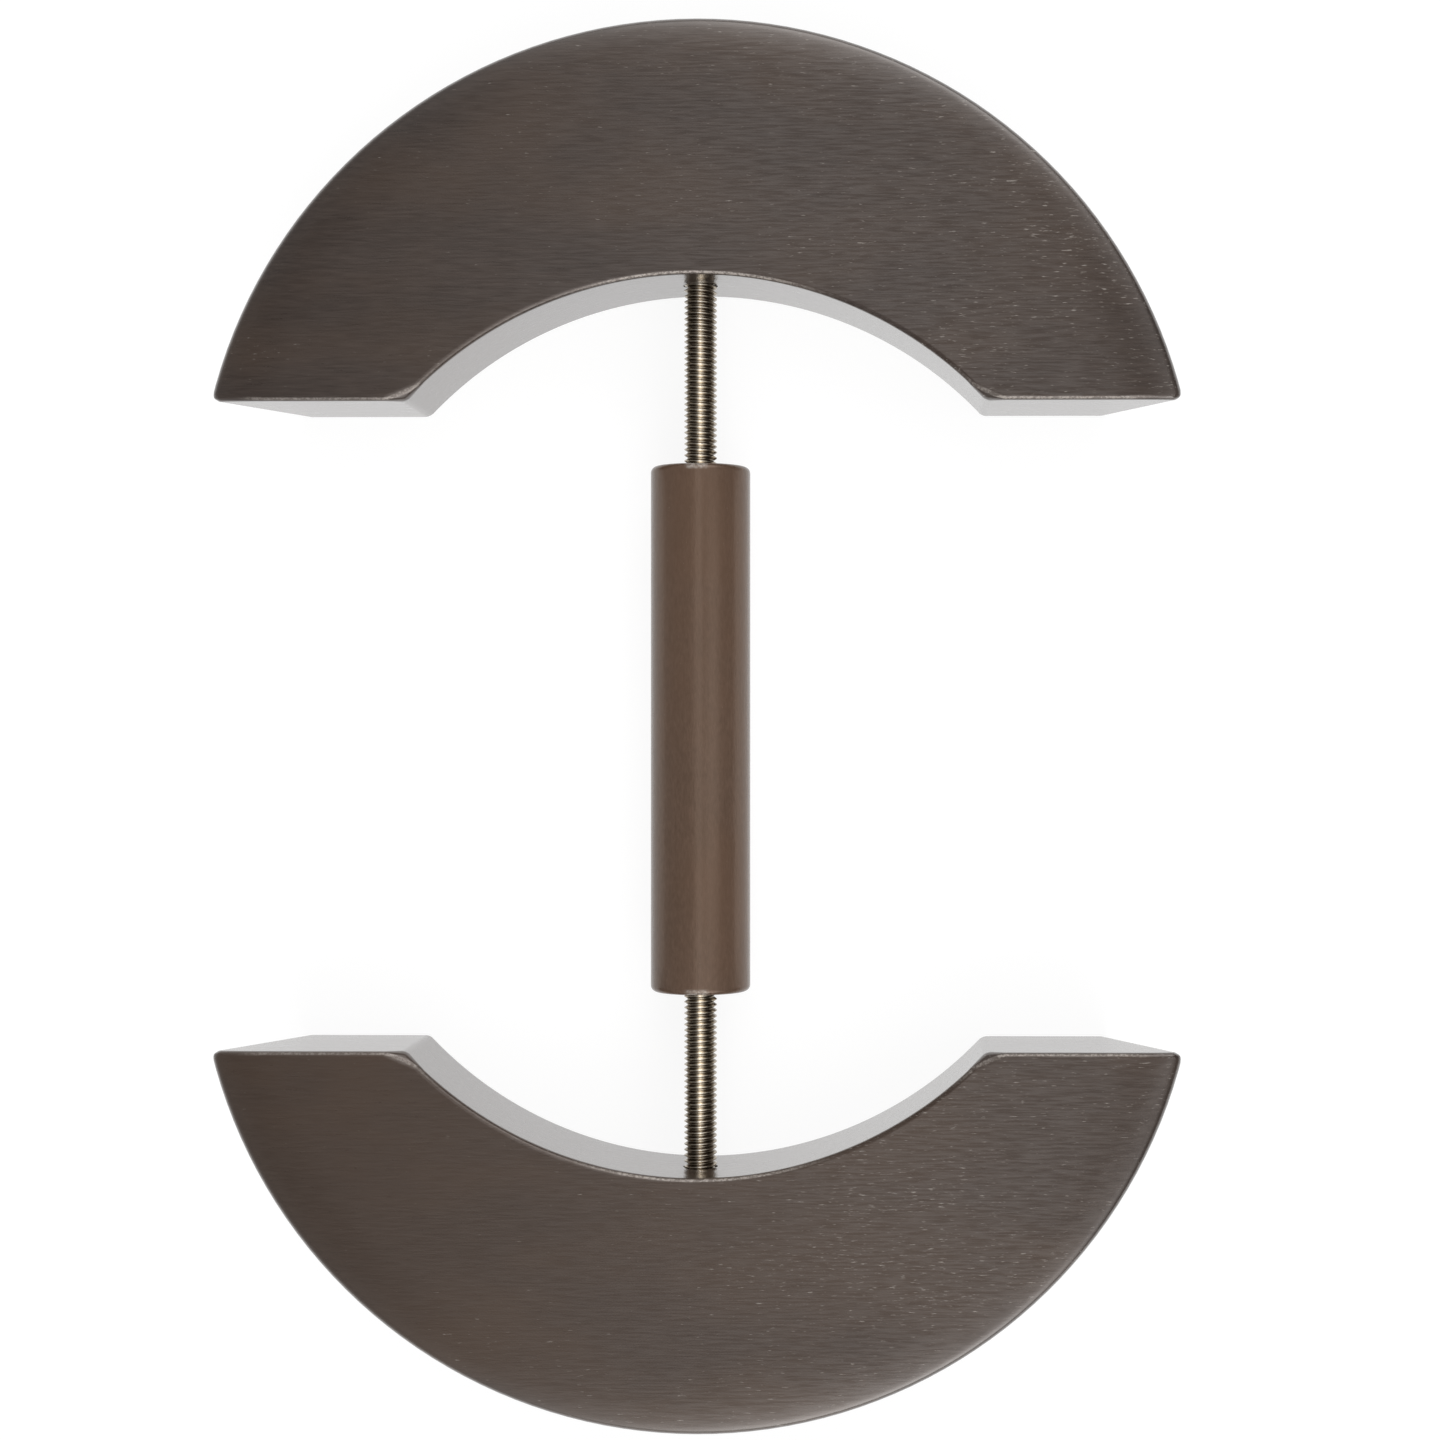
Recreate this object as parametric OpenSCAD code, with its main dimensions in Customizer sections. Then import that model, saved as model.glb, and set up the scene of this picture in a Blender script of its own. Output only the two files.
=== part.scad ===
// Hat stretcher: two tapered wooden crescents on threaded rods, pushed apart by turning a round handle.
// +Y runs along the rods to the upper crescent, +Z points out of the near faces.
// The far faces of both crescents lie on z = 0, and the middle of the whole length is at y = 0.

/* [Crescent blocks] */
// Thickness of a block, from its far face to its near face
block_t = 25; // [20:0.5:32]
// Radius of the outer wall where it meets the near face, before that rim is rounded
outer_r = 87.6; // [80:0.1:95]
// How much smaller the outer wall's radius is at the far face
wall_taper = 11.6; // [4:0.1:14]
// Distance from the centre of the outer arc to the two flat ends
flat_offset = 20.3; // [10:0.1:30]
// Radius of the notch's arc
notch_r = 68.4; // [58:0.1:80]
// Depth of the notch, from the flat ends to its deepest point
notch_depth = 21.7; // [16:0.1:28]
// Rounding of the outer rim of the near face
near_rim_r = 2.2; // [0.6:0.1:3]
// Rounding of the outer rim of the far face
far_rim_r = 0.8; // [0.4:0.1:2]
// Rounding of the edges of the flat ends and of the notch
edge_r = 0.9; // [0.4:0.1:2]

/* [Threaded rods] */
// Outer diameter of the rods' thread
rod_d = 6; // [5:0.1:8]
// Length of rod glued into a block
rod_bed = 26; // [15:0.5:32]
// Glue gap round a rod in its block
glue_gap = 0.05; // [0.02:0.01:0.1]
// Chamfer at the rods' ends
rod_chamfer = 0.7; // [0.3:0.1:1.2]
// Bare length of the upper rod at the setting shown
upper_bare = 32; // [20:0.5:36]
// Bare length of the lower rod at the setting shown
lower_bare = 31; // [20:0.5:36]
// Length of rod inside the handle at the setting shown
rod_in_handle = 15; // [14:0.5:18]

/* [Handle] */
// Diameter of the handle
handle_d = 17.5; // [15:0.5:22]
// Length of the handle
handle_len = 92.4; // [86:0.2:110]
// Rounding of the handle's end edges
handle_edge_r = 1.1; // [0.5:0.1:2]
// Clearance round a rod in the handle's bore
bore_gap = 0.6; // [0.3:0.1:1]

/* [Threaded inserts] */
// Outer diameter of the inserts
insert_d = 10; // [9:0.1:12]
// Length of the inserts
insert_len = 10; // [8:0.5:12]
// How deep the inserts sit below the handle's ends
insert_sink = 0.8; // [0.3:0.1:2]
// Chamfer on the inserts' outer edges
insert_chamfer = 0.5; // [0.2:0.1:0.8]
// Radial clearance of a rod in its insert
thread_gap = 0.05; // [0.02:0.01:0.1]
// Radial clearance of an insert in the handle
insert_gap = 0.05; // [0.02:0.01:0.1]

/* [Hidden] */
$fn = 96;
wood = [0.29, 0.24, 0.21];
handle_wood = [0.38, 0.31, 0.26];
steel = [0.66, 0.62, 0.56];
brass = [0.72, 0.60, 0.36];
// Room past a face that a cut starts from
past = 1;

// Crescent in its own frame: the outer arc's centre at the origin, the apex on +Y
taper_angle = atan(wall_taper / block_t);
far_r = outer_r - wall_taper;
notch_y = flat_offset + notch_depth - notch_r;
notch_top = flat_offset + notch_depth;
// Centres of the two rim roundings, in radius and height
near_rim = [outer_r - wall_taper * near_rim_r / block_t - near_rim_r / cos(taper_angle),
            block_t - near_rim_r];
far_rim = [far_r + wall_taper * far_rim_r / block_t - far_rim_r / cos(taper_angle), far_rim_r];
// The furthest that the rounded outer wall reaches from the arc's centre
reach = near_rim[0] + near_rim_r;
// Bounding square of a crescent, for the solids that trim it
span = 2 * (outer_r + past);

// Places along +Y
block_depth = reach - notch_top;
whole_len = 2 * block_depth + upper_bare + handle_len + lower_bare;
lower_root_y = block_depth - whole_len / 2;
handle_lower_y = lower_root_y + lower_bare;
handle_upper_y = handle_lower_y + handle_len;
upper_root_y = handle_upper_y + upper_bare;
axis_z = block_t / 2;

// A point at a distance along the direction that leaves the tapered wall at right angles
function off_wall(centre, r) = centre + r * [cos(taper_angle), -sin(taper_angle)];

// Half section of the tapered disc, with both rims rounded
module disc_section() {
    polygon([
        [0, 0],
        [far_rim[0], 0],
        off_wall(far_rim, far_rim_r),
        off_wall(near_rim, near_rim_r),
        [near_rim[0], block_t],
        [0, block_t]
    ]);
    translate(far_rim) circle(far_rim_r);
    translate(near_rim) circle(near_rim_r);
}

// What an edge loses when it is rounded: a square corner less a circle that touches both faces
module edge_waste(r) {
    difference() {
        translate([-past, -past]) square(r + past);
        translate([r, r]) circle(r);
    }
}

// Bar that rounds one long edge of the flat ends, along X
module flat_edge_waste() {
    rotate([90, 0, 90]) linear_extrude(span, center = true) edge_waste(edge_r);
}

// Everything below the flat ends, and their two long edges
module flat_end_cut() {
    translate([-span / 2, flat_offset - span, -past]) cube([span, span, block_t + 2 * past]);
    translate([0, flat_offset, 0]) flat_edge_waste();
    translate([0, flat_offset, block_t]) mirror([0, 0, 1]) flat_edge_waste();
}

// The notch, opening out over its two rounded edges
module notch_cut() {
    translate([0, notch_y, 0]) rotate_extrude() {
        translate([0, -past]) square([notch_r, block_t + 2 * past]);
        translate([notch_r, 0]) edge_waste(edge_r);
        translate([notch_r, block_t]) mirror([0, 1]) edge_waste(edge_r);
    }
}

// Blind hole for the rod, from the notch towards the apex
module rod_hole() {
    translate([0, notch_top - past, axis_z]) rotate([-90, 0, 0])
        cylinder(r = rod_d / 2 + glue_gap, h = rod_bed + past);
}

module crescent() {
    difference() {
        rotate_extrude() disc_section();
        flat_end_cut();
        notch_cut();
        rod_hole();
    }
}

// Round bar along +Y from the origin, chamfered at both ends
module rod(length) {
    r = rod_d / 2;
    rotate([-90, 0, 0]) rotate_extrude() polygon([
        [0, 0],
        [r - rod_chamfer, 0],
        [r, rod_chamfer],
        [r, length - rod_chamfer],
        [r - rod_chamfer, length],
        [0, length]
    ]);
}

// Threaded bush along +Y from the origin
module insert() {
    r = insert_d / 2;
    bore = rod_d / 2 + thread_gap;
    rotate([-90, 0, 0]) rotate_extrude() polygon([
        [bore, 0],
        [r - insert_chamfer, 0],
        [r, insert_chamfer],
        [r, insert_len - insert_chamfer],
        [r - insert_chamfer, insert_len],
        [bore, insert_len]
    ]);
}

module upper_block() {
    color(wood) translate([0, upper_root_y - notch_top, 0]) crescent();
}

module lower_block() {
    color(wood) translate([0, lower_root_y + notch_top, 0]) rotate([0, 0, 180]) crescent();
}

module upper_rod() {
    color(steel) translate([0, handle_upper_y - rod_in_handle, axis_z])
        rod(rod_in_handle + upper_bare + rod_bed);
}

module lower_rod() {
    color(steel) translate([0, lower_root_y - rod_bed, axis_z])
        rod(rod_bed + lower_bare + rod_in_handle);
}

// Half section of the bored handle, along its axis
module handle_section() {
    r = handle_d / 2;
    e = handle_edge_r;
    bore = rod_d / 2 + bore_gap;
    seat = insert_d / 2 + insert_gap;
    seat_depth = insert_sink + insert_len;
    difference() {
        square([r, handle_len]);
        translate([-past, -past]) square([bore + past, handle_len + 2 * past]);
        translate([-past, -past]) square([seat + past, seat_depth + past]);
        translate([-past, handle_len - seat_depth]) square([seat + past, seat_depth + past]);
        translate([r, 0]) mirror([1, 0]) edge_waste(e);
        translate([r, handle_len]) rotate(180) edge_waste(e);
    }
}

module handle() {
    color(handle_wood) translate([0, handle_lower_y, axis_z])
        rotate([-90, 0, 0]) rotate_extrude() handle_section();
}

module upper_handle_insert() {
    color(brass) translate([0, handle_upper_y - insert_sink - insert_len, axis_z]) insert();
}

module lower_handle_insert() {
    color(brass) translate([0, handle_lower_y + insert_sink, axis_z]) insert();
}

upper_block();
upper_rod();
upper_handle_insert();
handle();
lower_handle_insert();
lower_rod();
lower_block();
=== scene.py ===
"""Hat stretcher in its looks: stained crescent blocks, a turned handle, threaded rods and brass inserts."""

from math import acos, atan, cos, hypot, pi, sin, sqrt, tan

import bmesh
import bpy
from mathutils import Matrix, Vector


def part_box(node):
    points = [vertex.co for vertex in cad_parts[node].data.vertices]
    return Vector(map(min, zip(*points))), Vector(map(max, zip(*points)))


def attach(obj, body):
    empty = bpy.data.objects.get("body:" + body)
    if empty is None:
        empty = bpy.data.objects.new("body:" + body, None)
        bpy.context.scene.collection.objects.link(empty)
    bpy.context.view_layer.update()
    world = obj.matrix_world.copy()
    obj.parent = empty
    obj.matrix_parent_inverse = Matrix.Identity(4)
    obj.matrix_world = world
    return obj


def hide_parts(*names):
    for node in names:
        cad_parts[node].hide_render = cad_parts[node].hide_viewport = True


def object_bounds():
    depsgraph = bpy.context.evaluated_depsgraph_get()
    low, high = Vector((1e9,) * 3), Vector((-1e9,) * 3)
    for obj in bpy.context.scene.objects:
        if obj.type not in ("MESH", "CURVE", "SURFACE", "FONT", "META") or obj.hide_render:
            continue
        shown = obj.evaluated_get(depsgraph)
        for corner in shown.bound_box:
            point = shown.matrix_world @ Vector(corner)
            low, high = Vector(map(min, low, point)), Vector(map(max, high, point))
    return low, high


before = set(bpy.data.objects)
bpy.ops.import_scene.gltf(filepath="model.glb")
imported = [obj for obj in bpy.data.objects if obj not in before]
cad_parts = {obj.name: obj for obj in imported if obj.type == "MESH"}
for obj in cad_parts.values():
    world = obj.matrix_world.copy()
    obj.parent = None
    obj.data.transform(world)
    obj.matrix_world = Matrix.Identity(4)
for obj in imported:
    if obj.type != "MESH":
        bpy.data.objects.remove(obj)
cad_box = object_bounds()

MM = 0.001

# Crescent blocks: the arcs' radii and the places of their centres on the upper block
BLOCK_T = 25 * MM
OUTER_R, FAR_R = 87.6 * MM, 76 * MM
OUTER_Y = 35.7 * MM
NOTCH_R, NOTCH_Y = 68.4 * MM, 9.3 * MM
FLAT_Y = 56 * MM
ROOT_Y = NOTCH_Y + NOTCH_R
AXIS_Z = BLOCK_T / 2
ARC_STEPS = 72

# The near faces fall off softly to their outer rims: radii, and how far each lies below the face, in mm
FALL = (75, 0), (77.5, 0.02), (80, 0.11), (82.3, 0.3), (84.4, 0.6), (87.1, 1.09)

# Roundings of the blocks' edges, and what the flat ends' upright corners lose on each side
NEAR_RIM, FAR_RIM, EDGE = 1.7 * MM, 0.8 * MM, 0.9 * MM
INNER_CUT, OUTER_CUT = 0.8 * MM, 2.2 * MM
ROUND_STEPS = 8
# Upright corners nearer to the middle than this are the notch's
NOTCH_SIDE = 60.8 * MM

# The near corners between flat ends and notch are sanded off: how far along the edges, how far down, and
# what the new edges lose on each side
SAND_RUN, SAND_DROP, SAND_CUT = 3.9 * MM, 1.5 * MM, 0.75 * MM

# Rods, and the hole that each is glued into, with the room that is kept round its mouth
ROOT_R, TIP_R, PITCH = 2.3 * MM, 2.3 * MM, 1 * MM
HOLE_R, HOLE_ROOM, ROD_BED = 3.05 * MM, 4.4 * MM, 26 * MM
# One rolled tooth: places along the pitch, and heights above the root in mm
TOOTH = (0, 0.02), (0.08, 0), (0.16, 0.02), (0.5, 0.58), (0.58, 0.6), (0.66, 0.58)
# Turns that are made past each end of a rod and cut off there
SPARE_TURNS = 2
THREAD_STEPS = 48

# Handle and inserts
HANDLE_EDGE, SEAT_R, SEAT_DEPTH, BORE_R = 1.1 * MM, 5.05 * MM, 10.8 * MM, 3.6 * MM
SEAT_EDGE, SEAT_STEPS, HANDLE_STEPS = 0.35 * MM, 3, 6
INSERT_R, INSERT_BORE, INSERT_EDGE = 5 * MM, 3.05 * MM, 0.5 * MM
TURN_STEPS = 96

# Distances within which places count as one: on a cut, in a joined thread, and on a turned corner
CUT_SNAP, THREAD_SNAP, CORNER_SNAP = 0.0001 * MM, 0.002 * MM, 0.001 * MM
# Turns between faces, in radians, from which an edge shows as sharp
THREAD_SHARP, TURNED_SHARP = 0.6, 0.7

# Floor: half its width in metres, and how far it lies under the blocks
FLOOR_HALF, FLOOR_DROP = 6, 0.05 * MM

# Colours that more than one finish or place shares
WHITE = (1, 1, 1)
# Pale bare wood, used for edge wear and as painted highlight on the blocks' edges and the handle's ends
PALE_WEAR_AND_GLINT = (0.36, 0.325, 0.295)


class Wire:
    """A socket of a node tree that takes part in sums as a number does."""

    def __init__(self, tree, socket=None):
        self.tree, self.socket = tree, socket

    def node(self, kind, settings=None, inputs=None, out=0):
        """Adds a node: first its settings, then its sockets' values or links. Gives one of its outputs."""
        made = self.tree.nodes.new("ShaderNode" + kind)
        for name, value in (settings or {}).items():
            if name == "stops":
                ramp = made.color_ramp.elements
                while len(ramp) < len(value):
                    ramp.new(1)
                for stop, (place, colour) in zip(ramp, value):
                    stop.position, stop.color = place, (*colour, 1)
            else:
                setattr(made, name, value)
        for name, value in (inputs or {}).items():
            socket = made.inputs[name]
            if isinstance(value, Wire):
                self.tree.links.new(value.socket, socket)
            else:
                socket.default_value = (*value, 1) if socket.type == "RGBA" else value
        return Wire(self.tree, made.outputs[out]) if made.outputs else made

    def math(self, operation, *values):
        return self.node("Math", {"operation": operation}, dict(enumerate(values)))

    def __add__(self, other):
        return self.math("ADD", self, other)

    def __sub__(self, other):
        return self.math("SUBTRACT", self, other)

    def __rsub__(self, other):
        return self.math("SUBTRACT", other, self)

    def __mul__(self, other):
        return self.math("MULTIPLY", self, other)

    def __abs__(self):
        return self.math("ABSOLUTE", self)

    __radd__, __rmul__ = __add__, __mul__

    def step(self, low, high):
        """Rises softly from 0 at low to 1 at high, or falls where low is the larger."""
        return self.node("MapRange", {"interpolation_type": "SMOOTHSTEP"}, {0: self, 1: low, 2: high})

    def scaled(self, factors):
        return self.node("VectorMath", {"operation": "MULTIPLY"}, {0: self, 1: factors})

    def parts(self):
        """The three numbers of a vector."""
        return [self.node("SeparateXYZ", {}, {0: self}, out=i) for i in range(3)]

    def noise(self, scale, detail=3, roughness=0.55):
        return self.node(
            "TexNoise", {}, {"Vector": self, "Scale": scale, "Detail": detail, "Roughness": roughness})

    def tinted(self, base, colour):
        """The base colour with another laid over it where this mask says so."""
        return self.node("Mix", {"data_type": "RGBA"}, {0: self, 6: base, 7: colour}, out=2)


def finish_of(name):
    """An empty material, with the wire that its nodes are made from."""
    material = bpy.data.materials.new(name)
    material.use_nodes = True
    material.node_tree.nodes.clear()
    return material, Wire(material.node_tree)


def surface(wire, sockets):
    """The Principled shader of a finish, from its sockets' values and links."""
    shader = wire.node("BsdfPrincipled", {}, sockets)
    wire.node("OutputMaterial", {}, {"Surface": shader})


def relief(wire, strength, depth, height):
    """A bump over a surface that is that deep where the height goes from 0 to 1."""
    return wire.node("Bump", {}, {"Strength": strength, "Distance": depth, "Height": height})


def block_wear_and_glints(place, hairs):
    """Marks on a block's finish: a pale line along its near edges, partly wear and partly painted
    highlight, stronger to the right; pale pits, partly painted glints, more of them to the right; a warmer
    stain on the lower block; a thinner coat on the face.
    """
    x, y, z = place.parts()
    off, aside = abs(y), abs(x)
    right = x.step(-60 * MM, 60 * MM)
    below_face = z.step(BLOCK_T - 0.03 * MM, BLOCK_T - 0.14 * MM)
    near_edge = z.step(BLOCK_T - 0.5 * MM, BLOCK_T - 0.32 * MM) * below_face
    by_flat = off.step(FLAT_Y + 0.9 * MM, FLAT_Y + 0.4 * MM) * aside.step(80 * MM, 74 * MM)
    by_corner = off.step(FLAT_Y + 7 * MM, FLAT_Y + 2 * MM) * aside.step(58 * MM, 50 * MM)
    by_root = off.step(ROOT_Y + 2 * MM, ROOT_Y + MM) * aside.step(26 * MM, 8 * MM)
    on_face = z.step(BLOCK_T - 1.4 * MM, BLOCK_T - 0.1 * MM)
    lacquer = 0.75 - on_face * (right * 0.07 + 0.63)
    streaks = on_face * (right * 0.06 + 0.11) * hairs.step(0.36, 0.62)
    return {
        # Pale edge line: partly wear, partly painted highlight, stronger to the right
        "wear_and_glint": near_edge * (by_flat * (right * 0.4 + 0.45) + by_corner * 0.5 + by_root),
        # More pale pits to the right: painted glints there
        "pits_and_glints": right * 0.09 + 0.12,
        "warmth": y.step(-50 * MM, -55 * MM) * (right * -0.4 + 0.6),
        "coat": lacquer + streaks,
    }


def handle_glints(place, _hairs):
    """Marks on the handle's finish: a painted highlight as a pale patch on top of each end, over the rods.
    """
    low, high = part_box("handle")
    middle, half = (low.y + high.y) / 2, (high.y - low.y) / 2
    x, y, z = place.parts()
    end = abs(y - middle).step(half - 1.3 * MM, half - 0.6 * MM)
    on_top = z.step(high.z - 2.25 * MM, high.z - 1.25 * MM)
    # Painted highlight: a pale patch on top of each end, over the rods
    glint_chips = end * abs(x).step(2.4 * MM, 1.2 * MM) * on_top
    return {"wear_and_glint": glint_chips, "pits_and_glints": 0.14, "warmth": 0, "coat": 0.05}


def stained_wood(name, along, short, dark, light, warm, pale_pit_glint, gloss, tint, wear):
    """Stained open-pored wood under satin lacquer, its grain along one axis in marks that much shorter; its
    pale pits and pale edges are partly painted glints and highlights.
    """
    material, wire = finish_of(name)
    place = wire.node("TexCoord", out="Object")

    def stretched(share):
        return place.scaled(tuple(min(share * short, 1) if i == along else 1 for i in range(3)))

    bands = stretched(0.15).noise(120, 3)
    fibres = stretched(0.1).noise(1400, 4, 0.6)
    hairs = stretched(0.07).noise(2800, 3, 0.6)
    clouds = stretched(0.5).noise(40, 3)
    spots = stretched(0.16).noise(3600, 2, 0.5)
    glint_chips = place.noise(2200, 2)
    by_place = wear(place, hairs)
    pit_and_glint = (spots + clouds * 0.2 + bands * 0.15 + by_place["pits_and_glints"]).step(1, 1.2)

    tone = bands * 0.25 + fibres * 0.35 + hairs * 0.4
    colour = wire.node("ValToRGB", {"stops": ((0.39, dark), (0.61, light))}, {0: tone})
    colour = (clouds.step(0.4, 0.66) * 0.5 + by_place["warmth"]).tinted(colour, warm)
    # Pale pits: real pores in bump and roughness, painted glints in colour
    colour = (pit_and_glint * 0.85).tinted(colour, pale_pit_glint)
    # Pale edge line and end patches: partly wear, partly painted highlight, broken up by noise
    colour = (by_place["wear_and_glint"] * (glint_chips.step(0.4, 0.62) * 0.65 + 0.35)).tinted(colour, PALE_WEAR_AND_GLINT)

    surface(wire, {
        "Base Color": colour, "Roughness": gloss + fibres * 0.1 + pit_and_glint * 0.1,
        "Normal": relief(wire, 0.6, 0.1 * MM, fibres * 0.5 + hairs * 0.5 + pit_and_glint * 0.3),
        "IOR": 1.5, "Specular Tint": tint,
        "Coat Weight": by_place["coat"], "Coat Roughness": 0.13, "Coat IOR": 2.0,
    })
    return material


def from_axis(place):
    """Distance from the rods' axis."""
    x, _, z = place.parts()
    z = z - AXIS_Z
    return place.math("SQRT", x * x + z * z)


def rolled_steel():
    """Plated steel, darker in the thread's roots than on its crests, with painted shade down its sides and
    a painted highlight along its top.
    """
    material, wire = finish_of("rolled_steel")
    place = wire.node("TexCoord", out="Object")
    x, _, z = place.parts()
    crest = from_axis(place).step(ROOT_R + 0.2 * MM, ROOT_R + 0.57 * MM)
    # Painted highlight and shade: the rod's top is coloured lighter and its sides darker, as light from
    # above would show them
    painted_top_highlight = abs(x).step(1.05 * MM, 0.1 * MM) * z.step(AXIS_Z, AXIS_Z + MM)
    blotch = place.scaled((1, 0.4, 1)).noise(420, 4)
    scratch = place.scaled((1, 0.03, 1)).noise(5200, 3)
    painted_shade_sides = crest.tinted((0.21, 0.176, 0.132), (0.44, 0.385, 0.31))
    painted_lit_top = crest.tinted((0.66, 0.59, 0.49), (0.9, 0.84, 0.75))
    colour = (blotch.step(0.5, 0.75) * 0.3).tinted(painted_top_highlight.tinted(painted_shade_sides, painted_lit_top), (0.3, 0.26, 0.2))
    surface(wire, {
        "Base Color": colour, "Metallic": 1.0, "Roughness": 0.2 - crest * 0.05 + scratch * 0.08,
        "Normal": relief(wire, 0.25, 0.01 * MM, scratch + blotch * 0.5),
    })
    return material


def turned_brass():
    """Brass with the fine rings that a lathe leaves."""
    material, wire = finish_of("turned_brass")
    place = wire.node("TexCoord", out="Object")
    rings = place.math("SINE", from_axis(place) * 36000)
    blotch = place.noise(500, 4)
    surface(wire, {
        "Base Color": blotch.step(0.4, 0.7).tinted((0.52, 0.38, 0.16), (0.76, 0.60, 0.32)),
        "Metallic": 1.0, "Roughness": 0.24 + blotch * 0.16,
        "Normal": relief(wire, 0.3, 0.008 * MM, rings * 0.5 + blotch),
    })
    return material


def piece(name, bm, finish, body, node):
    """A finished mesh as an object that rides on a body and stands for a CAD node."""
    bmesh.ops.recalc_face_normals(bm, faces=bm.faces)
    mesh = bpy.data.meshes.new(name)
    bm.to_mesh(mesh)
    bm.free()
    mesh.shade_smooth()
    mesh.materials.append(finish)
    made = bpy.data.objects.new(name, mesh)
    bpy.context.scene.collection.objects.link(made)
    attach(made, body)
    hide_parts(node)
    return made


def with_bounds(faces):
    """Faces together with their edges and corners."""
    return faces + list({e for f in faces for e in f.edges} | {v for f in faces for v in f.verts})


def open_rim(bm):
    """The edges round what is still open."""
    return [e for e in bm.edges if e.is_boundary]


def rail(bm, centre_y, radius, z):
    """Edges along an arc of the upper block, from its left flat end over the top to its right one."""
    half = acos((FLAT_Y - centre_y) / radius)
    before = set(bm.edges)
    start = bm.verts.new((-radius * sin(half), FLAT_Y, z))
    bmesh.ops.spin(
        bm, geom=[start], cent=(0, centre_y, z), axis=(0, 0, -1), angle=2 * half, steps=ARC_STEPS)
    return [edge for edge in bm.edges if edge not in before]


def drill_root(bm, wall):
    """Cuts the rod's blind hole into the middle of the notch's wall."""
    for side in (-HOLE_ROOM, HOLE_ROOM):
        faces = [f for f in bm.faces if f in wall]
        cut = bmesh.ops.bisect_plane(
            bm, geom=with_bounds(faces), plane_co=(0, 0, AXIS_Z + side), plane_no=(0, 0, 1), dist=CUT_SNAP)
        wall |= {g for g in cut["geom"] if isinstance(g, bmesh.types.BMFace)}
    middle = Vector((0, ROOT_Y, AXIS_Z))
    patch = [f for f in wall if f.is_valid and (f.calc_center_median() - middle).length < HOLE_ROOM]
    bmesh.ops.delete(bm, geom=patch, context="FACES")
    border = open_rim(bm)
    upright = [e for e in border if abs(e.verts[0].co.z - e.verts[1].co.z) > HOLE_ROOM]
    across = (len(border) - len(upright)) // 2
    bmesh.ops.subdivide_edges(bm, edges=upright, cuts=across - 1)
    border = open_rim(bm)
    lying = Matrix.Translation(middle) @ Matrix.Rotation(pi / 2, 4, "X")
    mouth = bmesh.ops.create_circle(bm, segments=len(border), radius=HOLE_R, matrix=lying)["verts"]
    for vert in mouth:
        vert.co.y = NOTCH_Y + sqrt(NOTCH_R ** 2 - vert.co.x ** 2)
    edges = list({e for v in mouth for e in v.link_edges})
    for edge in edges:
        edge.smooth = False
    bmesh.ops.bridge_loops(bm, edges=border + edges)
    sides = bmesh.ops.extrude_edge_only(bm, edges=edges)["geom"]
    deep = [g for g in sides if isinstance(g, bmesh.types.BMVert)]
    bmesh.ops.translate(bm, verts=deep, vec=(0, ROD_BED, 0))
    bmesh.ops.edgeloop_fill(bm, edges=open_rim(bm))


def sand_corner(bm, weight, side):
    """Takes off the near corner between notch and flat end, on the right for 1 and on the left for -1."""
    end = acos((FLAT_Y - NOTCH_Y) / NOTCH_R)
    along = end - SAND_RUN / NOTCH_R
    corner = Vector((side * NOTCH_R * sin(end), FLAT_Y, BLOCK_T))
    on_flat = corner + Vector((side * SAND_RUN, 0, 0))
    on_notch = Vector((side * NOTCH_R * sin(along), NOTCH_Y + NOTCH_R * cos(along), BLOCK_T))
    below = corner - Vector((0, 0, SAND_DROP))
    out = (on_flat - below).cross(on_notch - below) * side
    lost = [v for v in bm.verts if (v.co - corner).length < SAND_RUN]
    across = {e for v in lost for e in v.link_edges if e[weight] == 0}
    bmesh.ops.dissolve_edges(bm, edges=list(across), use_verts=False)
    faces = list({f for v in lost for f in v.link_faces})
    bmesh.ops.bisect_plane(bm, geom=with_bounds(faces), plane_co=below, plane_no=out, clear_outer=True)
    rim = open_rim(bm)
    bmesh.ops.edgeloop_fill(bm, edges=rim)
    for edge in rim:
        edge[weight] = SAND_CUT / OUTER_CUT


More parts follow.
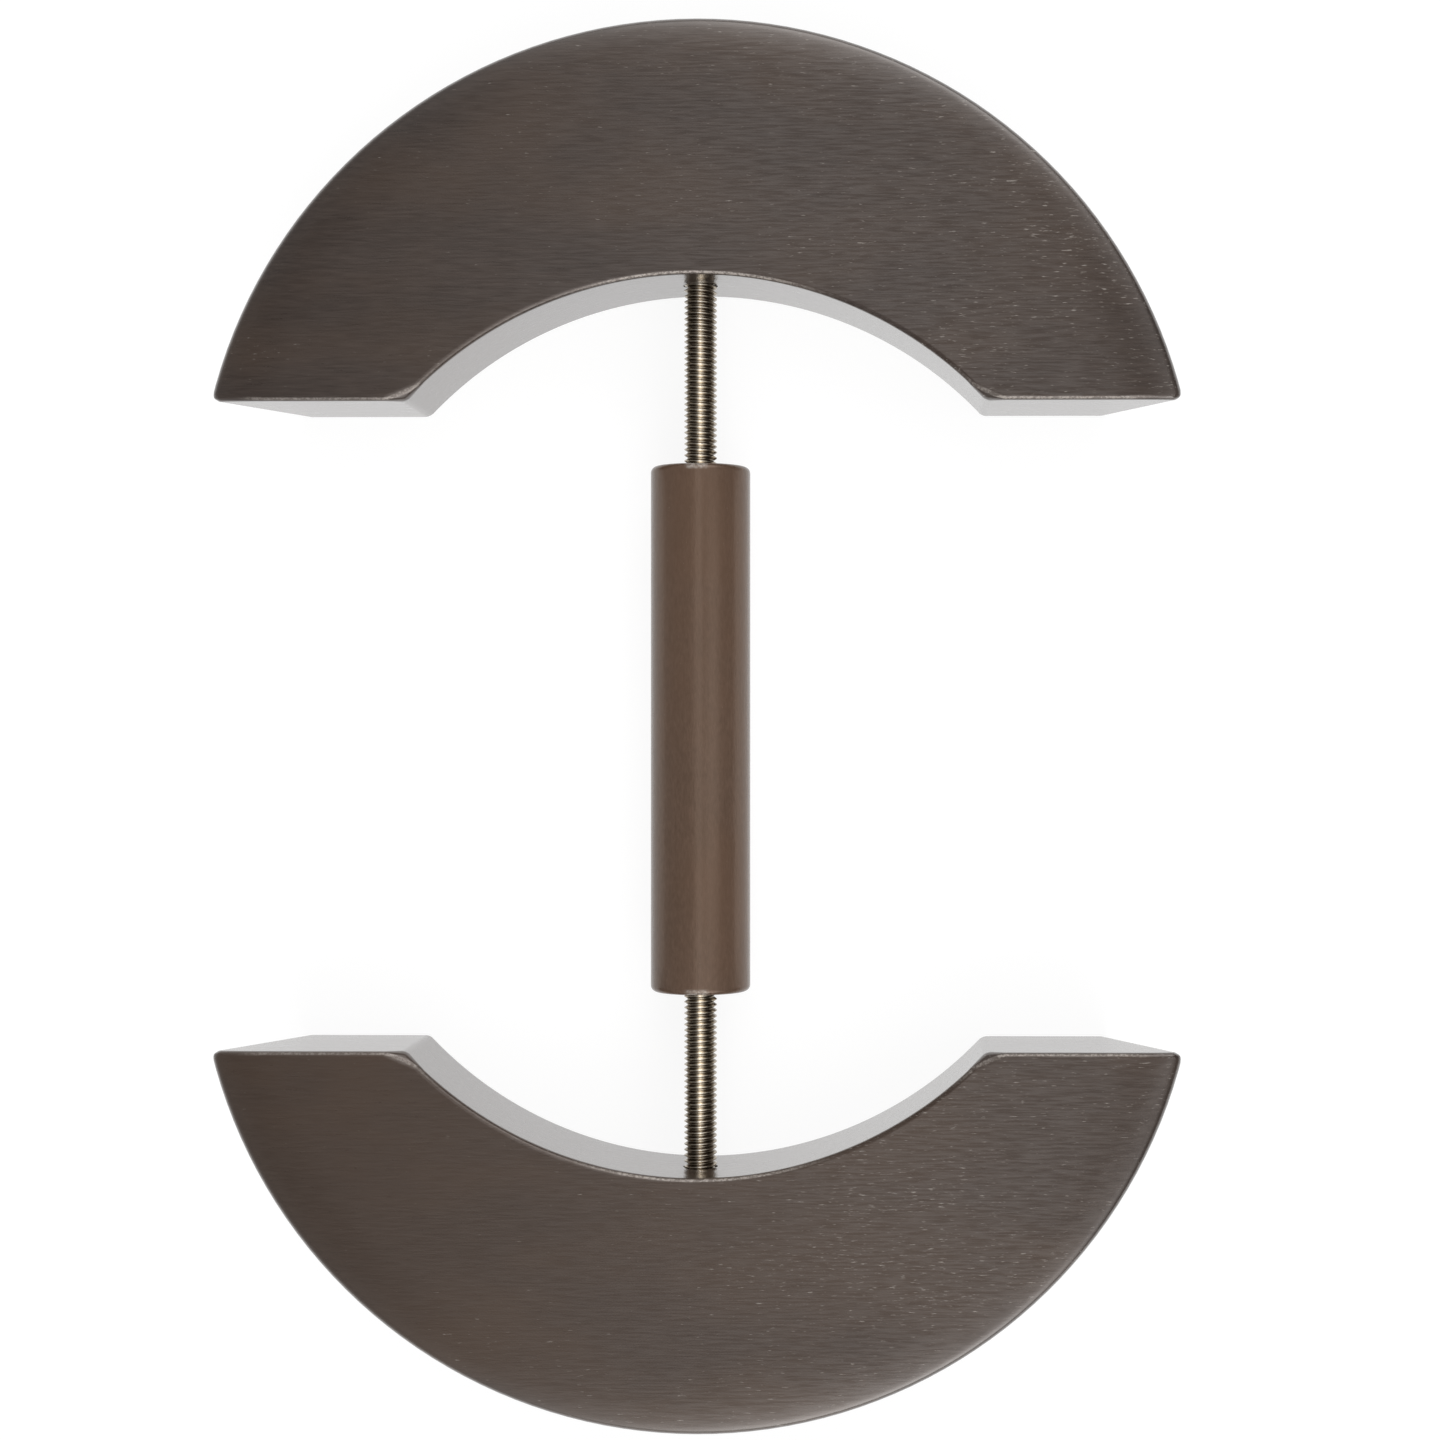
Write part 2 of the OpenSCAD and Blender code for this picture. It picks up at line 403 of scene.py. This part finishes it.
def crescent(name, finish, body, node, turned):
    """A block between arcs and two flat ends, its edges rounded and its inner near corners sanded off."""
    bm = bmesh.new()
    weight = bm.edges.layers.float.new("bevel_weight_edge")
    in_near = rail(bm, NOTCH_Y, NOTCH_R, BLOCK_T)
    rings = [rail(bm, OUTER_Y, radius * MM, BLOCK_T - below * MM) for radius, below in FALL]
    out_far = rail(bm, OUTER_Y, FAR_R, 0)
    in_far = rail(bm, NOTCH_Y, NOTCH_R, 0)
    rails = [in_near, *rings, out_far, in_far]
    for first, second in zip(rails, rails[1:]):
        bmesh.ops.bridge_loops(bm, edges=first + second)
    wall = set(bmesh.ops.bridge_loops(bm, edges=in_far + in_near)["faces"])
    ends = bmesh.ops.holes_fill(bm, edges=open_rim(bm))["faces"]
    drill_root(bm, wall)

    # A rounding of radius r takes r times the tangent of half the turn off each face
    slope = atan((OUTER_R - FAR_R) / BLOCK_T)
    (r0, below0), (r1, below1) = FALL[-2:]
    fall = atan((below1 - below0) / (r1 - r0))
    near_cut = NEAR_RIM * tan(pi / 4 + (slope - fall) / 2)
    far_cut = FAR_RIM * tan(pi / 4 - slope / 2)
    for edges, cut in ((rings[-1], near_cut), (out_far, far_cut), (in_near, EDGE), (in_far, EDGE)):
        for edge in edges:
            edge[weight] = cut / OUTER_CUT
    for face in ends:
        for edge in face.edges:
            upright = abs(edge.verts[0].co.z - edge.verts[1].co.z) > AXIS_Z
            inner = max(abs(v.co.x) for v in edge.verts) < NOTCH_SIDE
            cut = (INNER_CUT if inner else OUTER_CUT) if upright else EDGE
            edge[weight] = cut / OUTER_CUT
    for side in (-1, 1):
        sand_corner(bm, weight, side)
    if turned:
        bmesh.ops.rotate(bm, verts=bm.verts, matrix=Matrix.Rotation(pi, 3, "Z"))

    block = piece(name, bm, finish, body, node)
    rounding = block.modifiers.new("rounded edges", "BEVEL")
    rounding.width, rounding.segments, rounding.limit_method = OUTER_CUT, ROUND_STEPS, "WEIGHT"
    rounding.use_clamp_overlap = False
    flats = block.modifiers.new("flat faces", "WEIGHTED_NORMAL")
    flats.mode, flats.keep_sharp = "FACE_AREA", True
    return block


def threaded_rod(name, finish, body, node, hand):
    """A rod with a rolled 60 degree thread, right-handed for 1 and left-handed for -1."""
    low, high = (corner.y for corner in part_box(node))
    teeth = round((high - low) / PITCH) + 2 * SPARE_TURNS
    bm = bmesh.new()
    line = [
        bm.verts.new((ROOT_R + out * MM, low + (turn + along - SPARE_TURNS) * PITCH, AXIS_Z))
        for turn in range(teeth) for along, out in TOOTH]
    line += [bm.edges.new(pair) for pair in zip(line, line[1:])]
    bmesh.ops.spin(
        bm, geom=line, cent=(0, 0, AXIS_Z), axis=(0, hand, 0), angle=2 * pi, steps=THREAD_STEPS,
        dvec=(0, PITCH / THREAD_STEPS, 0))
    bmesh.ops.remove_doubles(bm, verts=bm.verts, dist=THREAD_SNAP)
    for end, out in ((low, -1), (high, 1)):
        everything = bm.verts[:] + bm.edges[:] + bm.faces[:]
        bmesh.ops.bisect_plane(
            bm, geom=everything, plane_co=(0, end, 0), plane_no=(0, out, 0), clear_outer=True)
    bmesh.ops.holes_fill(bm, edges=open_rim(bm))

    # Both tips are chamfered
    for vert in bm.verts:
        off = hypot(vert.co.x, vert.co.z - AXIS_Z)
        most = TIP_R + min(vert.co.y - low, high - vert.co.y)
        if off > most:
            vert.co.x *= most / off
            vert.co.z = AXIS_Z + (vert.co.z - AXIS_Z) * most / off
    rod = piece(name, bm, finish, body, node)
    rod.data.set_sharp_from_angle(angle=THREAD_SHARP)
    return rod


def turned_solid(name, section, roundings, finish, body, node):
    """A solid turned on the rods' axis from a closed half section, with some of its corners rounded."""
    bm = bmesh.new()
    ring = [bm.verts.new((r, y, AXIS_Z)) for r, y in section]
    loop = ring + [bm.edges.new((a, b)) for a, b in zip(ring, ring[1:] + ring[:1])]
    bmesh.ops.spin(
        bm, geom=loop, cent=(0, 0, AXIS_Z), axis=(0, 1, 0), angle=2 * pi, steps=TURN_STEPS, use_merge=True)
    for corners, offset, segments in roundings:
        for r, y in corners:
            edges = [e for e in bm.edges if all(
                hypot(hypot(v.co.x, v.co.z - AXIS_Z) - r, v.co.y - y) < CORNER_SNAP for v in e.verts)]
            bmesh.ops.bevel(
                bm, geom=edges, offset=offset, offset_type="OFFSET", segments=segments, profile=0.5,
                affect="EDGES", material=-1)
    made = piece(name, bm, finish, body, node)
    made.data.set_sharp_from_angle(angle=TURNED_SHARP)
    return made


def wooden_handle(finish):
    """The turned handle, bored through and recessed at both ends for the inserts."""
    low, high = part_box("handle")
    r, y0, y1 = high.x, low.y, high.y
    section = [
        (r, y0), (r, y1), (SEAT_R, y1), (SEAT_R, y1 - SEAT_DEPTH), (BORE_R, y1 - SEAT_DEPTH),
        (BORE_R, y0 + SEAT_DEPTH), (SEAT_R, y0 + SEAT_DEPTH), (SEAT_R, y0)]
    roundings = (
        (((r, y0), (r, y1)), HANDLE_EDGE, HANDLE_STEPS),
        (((SEAT_R, y0), (SEAT_R, y1)), SEAT_EDGE, SEAT_STEPS))
    return turned_solid("turned_handle", section, roundings, finish, "handle", "handle")


def brass_insert(name, finish, body, node):
    """A threaded bush, chamfered outside and countersunk at both mouths of its thread."""
    low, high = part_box(node)
    y0, y1, edge = low.y, high.y, INSERT_EDGE
    section = [
        (INSERT_BORE, y0 + edge), (INSERT_BORE + edge, y0), (INSERT_R - edge, y0), (INSERT_R, y0 + edge),
        (INSERT_R, y1 - edge), (INSERT_R - edge, y1), (INSERT_BORE + edge, y1), (INSERT_BORE, y1 - edge)]
    return turned_solid(name, section, (), finish, body, node)


block_wood = stained_wood(
    "block_wood", along=0, short=1, dark=(0.022, 0.0163, 0.0142), light=(0.0405, 0.03, 0.0253),
    warm=(0.0495, 0.032, 0.0223), pale_pit_glint=(0.29, 0.265, 0.24), gloss=0.24, tint=(1, 0.82, 0.72),
    wear=block_wear_and_glints)
handle_wood = stained_wood(
    "handle_wood", along=1, short=4, dark=(0.091, 0.058, 0.0405), light=(0.117, 0.0748, 0.054),
    warm=(0.117, 0.0695, 0.046), pale_pit_glint=(0.14, 0.102, 0.077), gloss=0.16, tint=(1, 0.74, 0.56),
    wear=handle_glints)
steel, brass = rolled_steel(), turned_brass()

crescent("upper_crescent", block_wood, "upper_half", "upper_block", False)
crescent("lower_crescent", block_wood, "lower_half", "lower_block", True)
threaded_rod("upper_threaded_rod", steel, "upper_half", "upper_rod", -1)
threaded_rod("lower_threaded_rod", steel, "lower_half", "lower_rod", 1)
wooden_handle(handle_wood)
brass_insert("upper_brass_insert", brass, "handle", "upper_handle_insert")
brass_insert("lower_brass_insert", brass, "lower_nut", "lower_handle_insert")


def pale_floor():
    """A wide white floor that takes the stretcher's soft shadow."""
    bm = bmesh.new()
    bmesh.ops.create_grid(bm, x_segments=1, y_segments=1, size=FLOOR_HALF)
    bmesh.ops.translate(bm, verts=bm.verts, vec=(0, 0, cad_box[0].z - FLOOR_DROP))
    mesh = bpy.data.meshes.new("floor")
    bm.to_mesh(mesh)
    bm.free()
    floor = bpy.data.objects.new("floor", mesh)
    bpy.context.scene.collection.objects.link(floor)
    material, wire = finish_of("white_floor")
    seen, mirrored, through = (
        wire.node("LightPath", out=f"Is {ray} Ray") for ray in ("Camera", "Glossy", "Transmission"))
    glow = wire.node("Emission", {}, {"Color": WHITE, "Strength": 0.86})
    shaded = wire.node("BsdfDiffuse", {}, {"Color": (0.2, 0.2, 0.2)})
    white = wire.node("AddShader", {}, {0: glow, 1: shaded})
    plain = wire.node("BsdfDiffuse", {}, {"Color": (0.8, 0.8, 0.8)})
    either = wire.math("MAXIMUM", wire.math("MAXIMUM", seen, mirrored), through)
    mixed = wire.node("MixShader", {}, {0: either, 1: plain, 2: white})
    wire.node("OutputMaterial", {}, {"Surface": mixed})
    mesh.materials.append(material)


def white_surroundings():
    """Soft light from an arch along the rods and from a strip on the right, plain white to the camera."""
    world = bpy.data.worlds.new("surroundings")
    bpy.context.scene.world = world
    world.use_nodes = True
    world.node_tree.nodes.clear()
    wire = Wire(world.node_tree)
    seen = wire.node("LightPath", out="Is Camera Ray")
    x, y, z = wire.node("TexCoord", out="Generated").parts()
    crown = x.step(-0.28, 0.04) * x.step(0.2, 0.04) * z.step(0.2, 0.8) * 0.95
    strip = x.step(0.17, 0.45) * x.step(0.85, 0.6) * abs(y).step(0.3, 0.08) * 1.1
    ends = y.step(0.05, 1) * 3.2 + y.step(-0.05, -1) * 4.0
    feet = x.step(-0.55, 0.35) * x.step(0.8, 0.35) * ends * z.step(0.02, 0.4)
    around = z.step(0.7, 0.1) * x.step(0.5, -0.3) * 0.2 + x.step(-0.1, -0.5) * 0.12 + 0.15
    light = wire.node("Background", {}, {"Color": WHITE, "Strength": crown + strip + feet + around})
    white = wire.node("Background", {}, {"Color": WHITE, "Strength": 1.0})
    mixed = wire.node("MixShader", {}, {0: seen, 1: light, 2: white})
    wire.node("OutputWorld", {}, {"Surface": mixed})


def softbox(name, place, aim, width, height, watts):
    """A rectangular lamp at a place, turned to face a point."""
    lamp = bpy.data.lights.new(name, "AREA")
    lamp.shape, lamp.size, lamp.size_y, lamp.energy = "RECTANGLE", width, height, watts
    holder = bpy.data.objects.new(name, lamp)
    holder.location = place
    holder.rotation_euler = (Vector(aim) - Vector(place)).to_track_quat("-Z", "Y").to_euler()
    holder.visible_camera = False
    bpy.context.scene.collection.objects.link(holder)


pale_floor()
white_surroundings()
softbox("overhead", place=(0.12, -0.1, 1.2), aim=(0.02, 0, 0), width=0.5, height=1.0, watts=0.6)

# The camera looks down on the near faces from a little to the right, with its picture shifted to match
camera = bpy.data.objects.new("camera", bpy.data.cameras.new("camera"))
camera.location = (35.7 * MM, 0.57 * MM, 470.2 * MM)
camera.rotation_euler = (0.0011, 0.015, 0)
camera.data.sensor_width, camera.data.lens, camera.data.shift_x = 36, 64.92, -0.1
camera.data.clip_start = 0.01
bpy.context.scene.collection.objects.link(camera)
bpy.context.scene.camera = camera
bpy.context.scene.view_settings.view_transform = "Standard"
